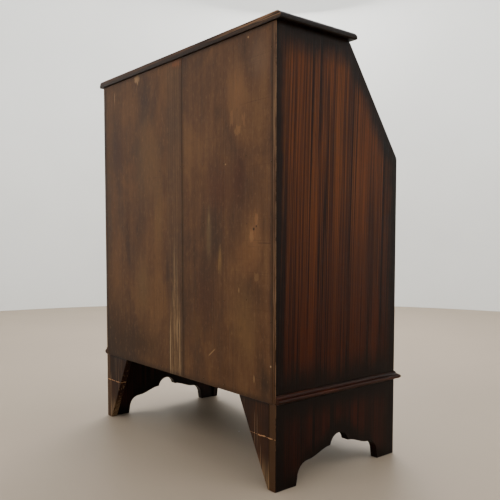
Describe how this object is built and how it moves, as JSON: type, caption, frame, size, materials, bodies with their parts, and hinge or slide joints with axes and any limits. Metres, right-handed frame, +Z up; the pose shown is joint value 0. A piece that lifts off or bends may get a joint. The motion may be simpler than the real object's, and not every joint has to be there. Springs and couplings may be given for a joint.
{
  "type": "slant-front secretary desk",
  "caption": "Slant-front secretary desk: hinged fall on pull-out lopers, drawers with bail handles, pigeonholes inside, on a bracket base with shaped cut-outs.",
  "frame": {"origin": "on the floor, at the middle of the overall box of the desk", "axes": "+Z up; -Y is the front, where the user sits; +X is the user's right"},
  "size_m": [0.798, 0.4217, 1],
  "materials": {
    "stained_oak": "stained and varnished oak veneer, satin",
    "dark_moulding": "dark stained solid wood, satin",
    "back_board": "aged thin boards, dull, scuffed",
    "rough_bracket": "rough sawn, thinly stained",
    "drawer_lining": "unfinished light wood",
    "writing_leather": "worn green leather, semi-matt",
    "brass": "aged brass, lightly tarnished"
  },
  "bodies": {
    "carcass": {"left_side_panel": "stained_oak", "right_side_panel": "stained_oak", "top_board": "dark_moulding", "back_panel_left": "back_board", "back_panel_right": "back_board", "bottom_board": "stained_oak", "writing_board": "stained_oak", "dust_board_lower": "stained_oak", "dust_board_upper": "stained_oak", "loper_partition_left": "stained_oak", "loper_partition_right": "stained_oak", "base_side_left": "stained_oak", "base_side_right": "stained_oak", "front_apron": "stained_oak", "rear_bracket_left": "rough_bracket", "rear_bracket_right": "rough_bracket", "base_moulding_front": "dark_moulding", "base_moulding_left": "dark_moulding", "base_moulding_right": "dark_moulding", "hinge_leaf_desk_left": "brass", "hinge_leaf_desk_right": "brass", "hinge_pin_left": "brass", "hinge_pin_right": "brass", "pigeonhole_case": "stained_oak"},
    "fall": {"fall_board": "stained_oak", "fall_leather": "writing_leather", "fall_lock_case": "brass", "fall_escutcheon": "brass", "hinge_leaf_fall_left": "brass", "hinge_leaf_fall_right": "brass"},
    "fall_bolt": {"fall_lock_bolt": "brass"},
    "loper_left": {"loper_left": "stained_oak", "loper_knob_left": "brass"},
    "loper_right": {"loper_right": "stained_oak", "loper_knob_right": "brass"},
    "drawer_1": {"drawer_front_1": "stained_oak", "drawer_frame_1": "drawer_lining", "drawer_bottom_1": "drawer_lining", "handle_plate_1_left": "brass", "handle_plate_1_right": "brass"},
    "bail_1_left": {"bail_1_left": "brass"},
    "bail_1_right": {"bail_1_right": "brass"},
    "drawer_2": {"drawer_front_2": "stained_oak", "drawer_frame_2": "drawer_lining", "drawer_bottom_2": "drawer_lining", "handle_plate_2_left": "brass", "handle_plate_2_right": "brass"},
    "bail_2_left": {"bail_2_left": "brass"},
    "bail_2_right": {"bail_2_right": "brass"},
    "drawer_3": {"drawer_front_3": "stained_oak", "drawer_frame_3": "drawer_lining", "drawer_bottom_3": "drawer_lining", "handle_plate_3_left": "brass", "handle_plate_3_right": "brass"},
    "bail_3_left": {"bail_3_left": "brass"},
    "bail_3_right": {"bail_3_right": "brass"},
    "small_drawer_left": {"small_drawer_left": "drawer_lining", "small_knob_left": "brass"},
    "small_drawer_right": {"small_drawer_right": "drawer_lining", "small_knob_right": "brass"}
  },
  "joints": [
    {"name": "fall_hinge", "type": "hinge", "parent": "carcass", "child": "fall", "pos_m": [0, -0.18615, 0.723], "axis": [1, 0, 0], "range_deg": [0, 125.4]},
    {"name": "fall_bolt_slide", "type": "slide", "parent": "fall", "child": "fall_bolt", "axis": [0, 0.5793, 0.8151], "range_m": [0, 0.012]},
    {"name": "loper_left_slide", "type": "slide", "parent": "carcass", "child": "loper_left", "axis": [0, -1, 0], "range_m": [0, 0.26]},
    {"name": "loper_right_slide", "type": "slide", "parent": "carcass", "child": "loper_right", "axis": [0, -1, 0], "range_m": [0, 0.26]},
    {"name": "drawer_1_slide", "type": "slide", "parent": "carcass", "child": "drawer_1", "axis": [0, -1, 0], "range_m": [0, 0.28]},
    {"name": "bail_1_left_swing", "type": "hinge", "parent": "drawer_1", "child": "bail_1_left", "pos_m": [-0.225, -0.20605, 0.645], "axis": [-1, 0, 0], "range_deg": [-12, 85]},
    {"name": "bail_1_right_swing", "type": "hinge", "parent": "drawer_1", "child": "bail_1_right", "pos_m": [0.225, -0.20605, 0.645], "axis": [-1, 0, 0], "range_deg": [-12, 85]},
    {"name": "drawer_2_slide", "type": "slide", "parent": "carcass", "child": "drawer_2", "axis": [0, -1, 0], "range_m": [0, 0.28]},
    {"name": "bail_2_left_swing", "type": "hinge", "parent": "drawer_2", "child": "bail_2_left", "pos_m": [-0.225, -0.20605, 0.48852], "axis": [-1, 0, 0], "range_deg": [-12, 85]},
    {"name": "bail_2_right_swing", "type": "hinge", "parent": "drawer_2", "child": "bail_2_right", "pos_m": [0.225, -0.20605, 0.48852], "axis": [-1, 0, 0], "range_deg": [-12, 85]},
    {"name": "drawer_3_slide", "type": "slide", "parent": "carcass", "child": "drawer_3", "axis": [0, -1, 0], "range_m": [0, 0.28]},
    {"name": "bail_3_left_swing", "type": "hinge", "parent": "drawer_3", "child": "bail_3_left", "pos_m": [-0.225, -0.20605, 0.30052], "axis": [-1, 0, 0], "range_deg": [-12, 85]},
    {"name": "bail_3_right_swing", "type": "hinge", "parent": "drawer_3", "child": "bail_3_right", "pos_m": [0.225, -0.20605, 0.30052], "axis": [-1, 0, 0], "range_deg": [-12, 85]},
    {"name": "small_drawer_left_slide", "type": "slide", "parent": "carcass", "child": "small_drawer_left", "axis": [0, -1, 0], "range_m": [0, 0.12]},
    {"name": "small_drawer_right_slide", "type": "slide", "parent": "carcass", "child": "small_drawer_right", "axis": [0, -1, 0], "range_m": [0, 0.12]}
  ]
}
